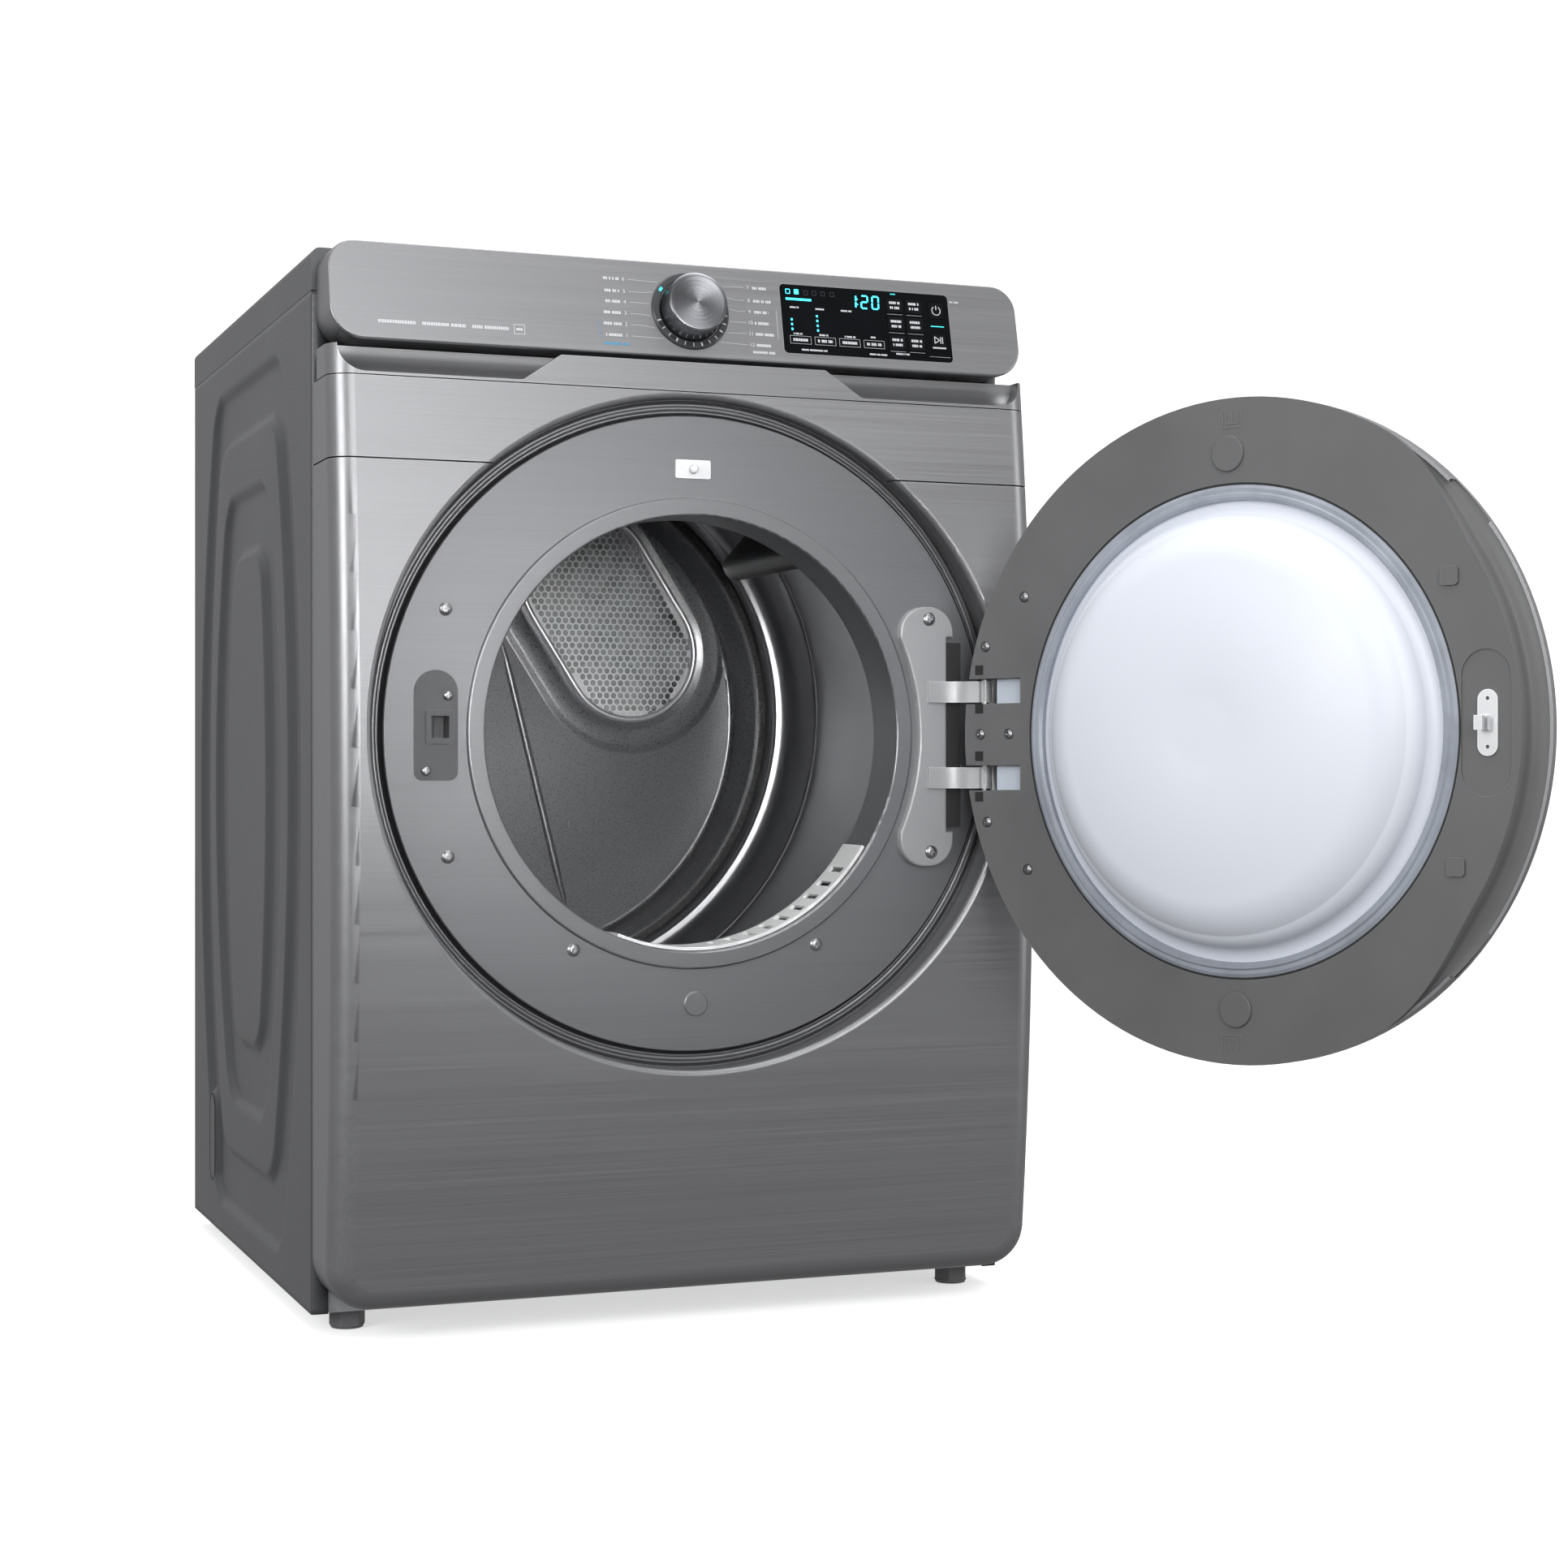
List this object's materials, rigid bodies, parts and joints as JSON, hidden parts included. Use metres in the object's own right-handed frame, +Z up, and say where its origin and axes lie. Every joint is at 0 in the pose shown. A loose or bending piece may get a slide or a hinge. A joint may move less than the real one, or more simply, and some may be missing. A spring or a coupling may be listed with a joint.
{
  "type": "clothes dryer",
  "caption": "Front-loading tumble clothes dryer with a round hinged door standing open, a turning drum, a rotary knob, a key panel, a pull-out lint filter and four feet.",
  "frame": {"origin": "on the floor, midway between the four feet", "axes": "+X to the right of a person facing the front, +Y towards the back, +Z up; the door is on the -Y side"},
  "size_m": [0.9043, 1.2952, 0.984],
  "materials": {
    "front_metal": "horizontally brushed graphite grey metallic, satin",
    "side_paint": "dark grey fine-texture enamel",
    "fascia_metal": "horizontally brushed grey metallic, satin",
    "display": "black gloss window",
    "key_caps": null,
    "knob_metal": "radially brushed aluminium with a bright bevel",
    "bezel": "dark grey gloss ring with pale ticks",
    "galvanised": "galvanised sheet, spangled",
    "surround": "grey enamel, smooth",
    "door_plastic": "grey fine-textured moulding",
    "door_rim": "bright satin trim",
    "window": "dark tinted clear plastic",
    "bowl_glass": "clear glass, faint blue",
    "clamp_metal": "satin silver",
    "rubber": "dull black",
    "hinge_metal": "light grey enamel",
    "screw_metal": "zinc plated",
    "drum_metal": "brushed steel",
    "baffle": "light grey moulding",
    "bulkhead": "grey enamel",
    "felt": "speckled wool felt",
    "grille": "bright perforated sheet",
    "internal_plastic": "black moulding",
    "motor": "black enamel",
    "filter": "white moulding with fine mesh",
    "roller": "grey rubber tyre",
    "foot": "dark grey moulding"
  },
  "bodies": {
    "cabinet": {"side_panel_left": "side_paint", "side_panel_right": "side_paint", "back_panel": "galvanised", "base_pan": "galvanised", "top_cover": "side_paint", "front_panel_lower": "front_metal", "front_panel_upper": "front_metal", "grip_band": "front_metal", "control_fascia": "fascia_metal", "display_window": "display", "knob_bezel": "bezel", "door_surround": "surround", "front_screws": "screw_metal", "latch_receiver": "internal_plastic", "door_switch_housing": "internal_plastic", "hinge_bracket": "hinge_metal", "front_bulkhead": "galvanised", "rear_bulkhead": "bulkhead", "drum_seals": "felt", "air_grille": "grille", "motor_body": "motor", "drive_belt": "rubber", "blower_housing": "internal_plastic", "exhaust_duct": "galvanised", "filter_housing": "internal_plastic", "heater_duct": "galvanised"},
    "door": {"door_inner_frame": "door_plastic", "door_outer_ring": "door_rim", "door_window": "window", "door_glass": "bowl_glass", "glass_clamp_ring": "clamp_metal", "door_seal": "rubber", "door_strike": "internal_plastic", "door_bumpers": "rubber", "door_screws": "screw_metal", "hinge_pins": "screw_metal"},
    "drum": {"drum_shell": "drum_metal", "drum_baffles": "baffle"},
    "roller_left": {"drum_roller_left": "roller"},
    "roller_right": {"drum_roller_right": "roller"},
    "rotor": {"motor_shaft": "screw_metal", "blower_wheel": "internal_plastic"},
    "idler": {"idler_arm": "galvanised"},
    "idler_wheel": {"idler_pulley": "internal_plastic"},
    "knob": {"control_knob": "knob_metal"},
    "filter": {"lint_filter": "filter"},
    "switch_plunger": {"door_switch_plunger": "filter"},
    "feet": {"levelling_feet": "foot"},
    "key_option_1": {"key_option_1": "key_caps"},
    "key_option_2": {"key_option_2": "key_caps"},
    "key_option_3": {"key_option_3": "key_caps"},
    "key_option_4": {"key_option_4": "key_caps"},
    "key_menu_1": {"key_menu_1": "key_caps"},
    "key_menu_2": {"key_menu_2": "key_caps"},
    "key_menu_3": {"key_menu_3": "key_caps"},
    "key_menu_4": {"key_menu_4": "key_caps"},
    "key_menu_5": {"key_menu_5": "key_caps"},
    "key_menu_6": {"key_menu_6": "key_caps"},
    "key_power": {"key_power": "key_caps"},
    "key_start": {"key_start": "key_caps"}
  },
  "joints": [
    {"name": "door_hinge", "type": "hinge", "parent": "cabinet", "child": "door", "pos_m": [0.2829, -0.4289, 0.5446], "axis": [0, 0, 1], "range_deg": [-117.8, 2.2]},
    {"name": "drum_spin", "type": "hinge", "parent": "cabinet", "child": "drum", "pos_m": [0, 0, 0.575], "axis": [0, 1, 0], "continuous": true},
    {"name": "roller_left_spin", "type": "hinge", "parent": "cabinet", "child": "roller_left", "pos_m": [-0.16485, 0.17, 0.28947], "axis": [0, 1, 0], "continuous": true},
    {"name": "roller_right_spin", "type": "hinge", "parent": "cabinet", "child": "roller_right", "pos_m": [0.16485, 0.17, 0.28947], "axis": [0, 1, 0], "continuous": true},
    {"name": "motor_spin", "type": "hinge", "parent": "cabinet", "child": "rotor", "pos_m": [0.18, 0, 0.15], "axis": [0, 1, 0], "continuous": true},
    {"name": "idler_tension", "type": "hinge", "parent": "cabinet", "child": "idler", "pos_m": [0.12, 0.05, 0.092], "axis": [0, 1, 0], "range_deg": [0, 10], "stiffness_Nm_per_rad": 2, "springref_deg": -11.46},
    {"name": "idler_pulley_spin", "type": "hinge", "parent": "idler", "child": "idler_wheel", "pos_m": [0.09, 0.0375, 0.15], "axis": [0, 1, 0], "continuous": true},
    {"name": "knob_turn", "type": "hinge", "parent": "cabinet", "child": "knob", "pos_m": [0, -0.38586, 0.938], "axis": [0, -0.9756, 0.2198], "continuous": true},
    {"name": "key_option_1_press", "type": "slide", "parent": "cabinet", "child": "key_option_1", "axis": [0, 0.9756, -0.2198], "range_m": [0, 0.0008], "stiffness_N_per_m": 400},
    {"name": "key_option_2_press", "type": "slide", "parent": "cabinet", "child": "key_option_2", "axis": [0, 0.9756, -0.2198], "range_m": [0, 0.0008], "stiffness_N_per_m": 400},
    {"name": "key_option_3_press", "type": "slide", "parent": "cabinet", "child": "key_option_3", "axis": [0, 0.9756, -0.2198], "range_m": [0, 0.0008], "stiffness_N_per_m": 400},
    {"name": "key_option_4_press", "type": "slide", "parent": "cabinet", "child": "key_option_4", "axis": [0, 0.9756, -0.2198], "range_m": [0, 0.0008], "stiffness_N_per_m": 400},
    {"name": "key_menu_1_press", "type": "slide", "parent": "cabinet", "child": "key_menu_1", "axis": [0, 0.9756, -0.2198], "range_m": [0, 0.0008], "stiffness_N_per_m": 400},
    {"name": "key_menu_2_press", "type": "slide", "parent": "cabinet", "child": "key_menu_2", "axis": [0, 0.9756, -0.2198], "range_m": [0, 0.0008], "stiffness_N_per_m": 400},
    {"name": "key_menu_3_press", "type": "slide", "parent": "cabinet", "child": "key_menu_3", "axis": [0, 0.9756, -0.2198], "range_m": [0, 0.0008], "stiffness_N_per_m": 400},
    {"name": "key_menu_4_press", "type": "slide", "parent": "cabinet", "child": "key_menu_4", "axis": [0, 0.9756, -0.2198], "range_m": [0, 0.0008], "stiffness_N_per_m": 400},
    {"name": "key_menu_5_press", "type": "slide", "parent": "cabinet", "child": "key_menu_5", "axis": [0, 0.9756, -0.2198], "range_m": [0, 0.0008], "stiffness_N_per_m": 400},
    {"name": "key_menu_6_press", "type": "slide", "parent": "cabinet", "child": "key_menu_6", "axis": [0, 0.9756, -0.2198], "range_m": [0, 0.0008], "stiffness_N_per_m": 400},
    {"name": "key_power_press", "type": "slide", "parent": "cabinet", "child": "key_power", "axis": [0, 0.9756, -0.2198], "range_m": [0, 0.0008], "stiffness_N_per_m": 400},
    {"name": "key_start_press", "type": "slide", "parent": "cabinet", "child": "key_start", "axis": [0, 0.9756, -0.2198], "range_m": [0, 0.0008], "stiffness_N_per_m": 400},
    {"name": "filter_lift", "type": "slide", "parent": "cabinet", "child": "filter", "axis": [0, 0, 1], "range_m": [0, 0.2]},
    {"name": "switch_press", "type": "slide", "parent": "cabinet", "child": "switch_plunger", "axis": [0, 1, 0], "range_m": [0, 0.005], "stiffness_N_per_m": 200},
    {"name": "feet_screw", "type": "slide", "parent": "cabinet", "child": "feet", "axis": [0, 0, 1], "range_m": [-0.012, 0]}
  ],
  "couplings": [
    {"joint": "roller_left_spin", "follows": "drum_spin", "ratio": -8.411},
    {"joint": "roller_right_spin", "follows": "drum_spin", "ratio": -8.411},
    {"joint": "motor_spin", "follows": "drum_spin", "ratio": 23.71},
    {"joint": "idler_pulley_spin", "follows": "drum_spin", "ratio": 13.88}
  ]
}
